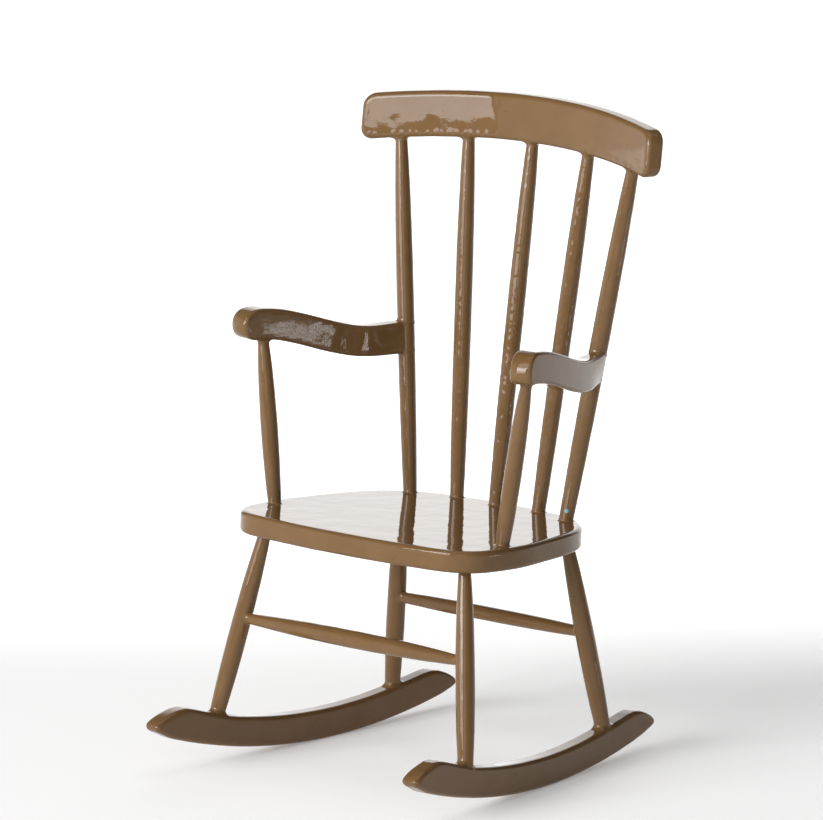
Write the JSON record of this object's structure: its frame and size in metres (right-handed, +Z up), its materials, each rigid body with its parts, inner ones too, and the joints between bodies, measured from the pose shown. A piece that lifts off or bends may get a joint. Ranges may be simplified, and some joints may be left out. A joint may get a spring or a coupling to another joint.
{
  "type": "miniature rocking chair",
  "caption": "Dolls' house rocking chair in glossy brown enamelled metal, with a spindle back, a bent crest rail, S-curved arms and curved rockers.",
  "frame": {"origin": "on the surface that the chair stands on, at the middle of its plan", "axes": "+Z up, -Y the way the chair faces, +X towards the sitter's left; X = 0 is the plane of symmetry"},
  "size_m": [0.0884, 0.097, 0.1512],
  "materials": {
    "enamel": "thick glossy light-brown enamel over metal"
  },
  "bodies": {
    "root": {"crest_rail": "enamel", "spindle_centre": "enamel", "spindle_inner_left": "enamel", "spindle_inner_right": "enamel", "back_post_left": "enamel", "back_post_right": "enamel", "arm_left": "enamel", "arm_right": "enamel", "arm_post_left": "enamel", "arm_post_right": "enamel", "seat": "enamel", "leg_front_left": "enamel", "leg_front_right": "enamel", "leg_back_left": "enamel", "leg_back_right": "enamel", "stretcher_front": "enamel", "stretcher_back": "enamel", "rocker_left": "enamel", "rocker_right": "enamel"}
  },
  "joints": []
}
